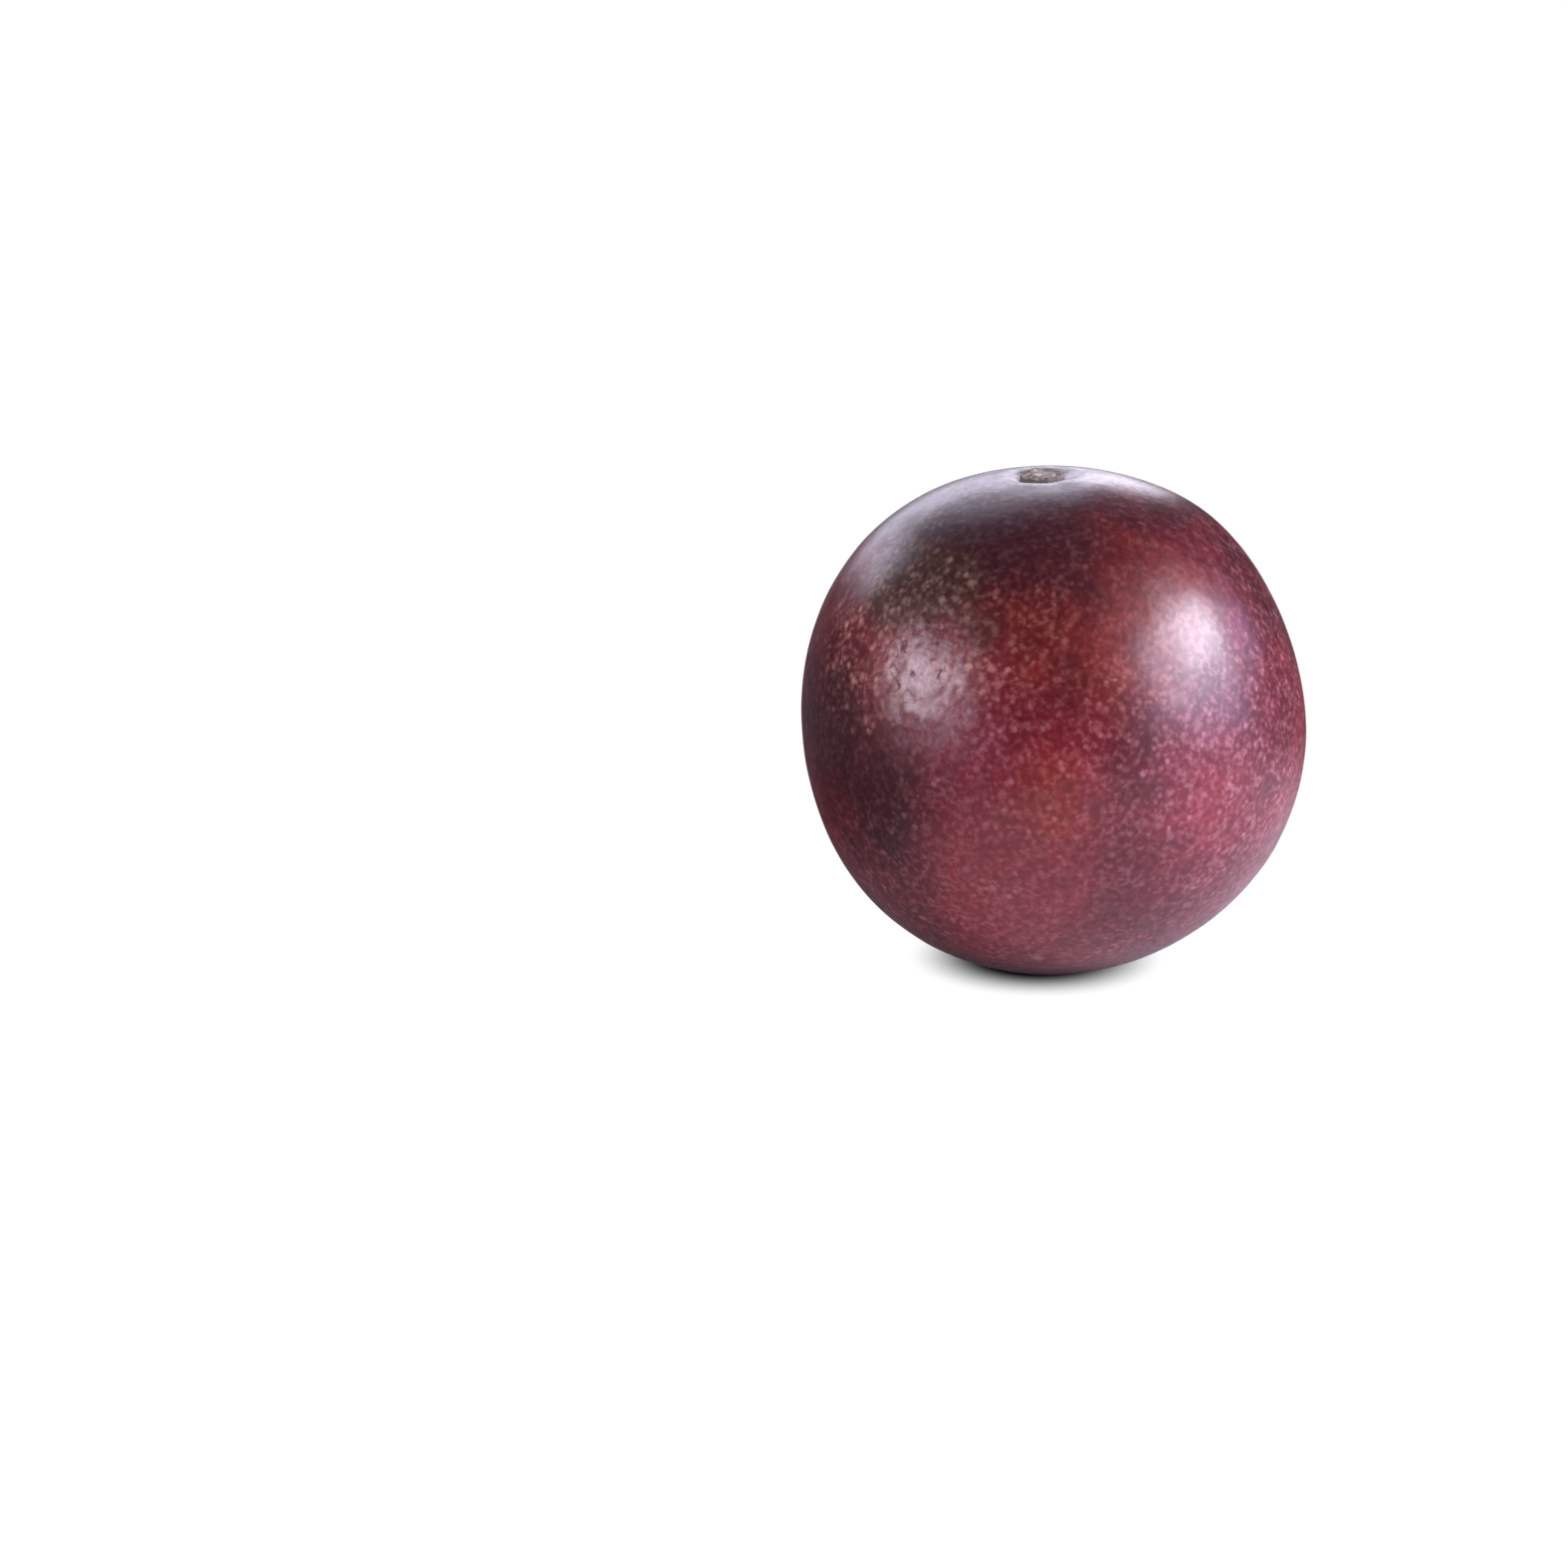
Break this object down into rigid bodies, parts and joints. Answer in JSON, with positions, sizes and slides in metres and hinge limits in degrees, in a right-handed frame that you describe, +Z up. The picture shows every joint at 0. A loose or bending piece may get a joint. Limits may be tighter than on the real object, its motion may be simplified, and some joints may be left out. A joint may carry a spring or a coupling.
{
  "type": "passion fruit",
  "caption": "Whole ripe purple passion fruit, near-round with a shallow stem dimple and a short woody stalk stub, resting on a small flat spot.",
  "frame": {"origin": "bottom centre of the fruit's box, on the flat resting spot and 0.4 mm from that spot's middle", "axes": "+Z up towards the stem end; -Y faces the best side; the stem axis leans about four degrees towards -X"},
  "size_m": [0.0562, 0.0568, 0.0557],
  "materials": {
    "skin": "satin",
    "stub": "matte"
  },
  "bodies": {
    "root": {"fruit": "skin", "stem_stub": "stub"}
  },
  "joints": []
}
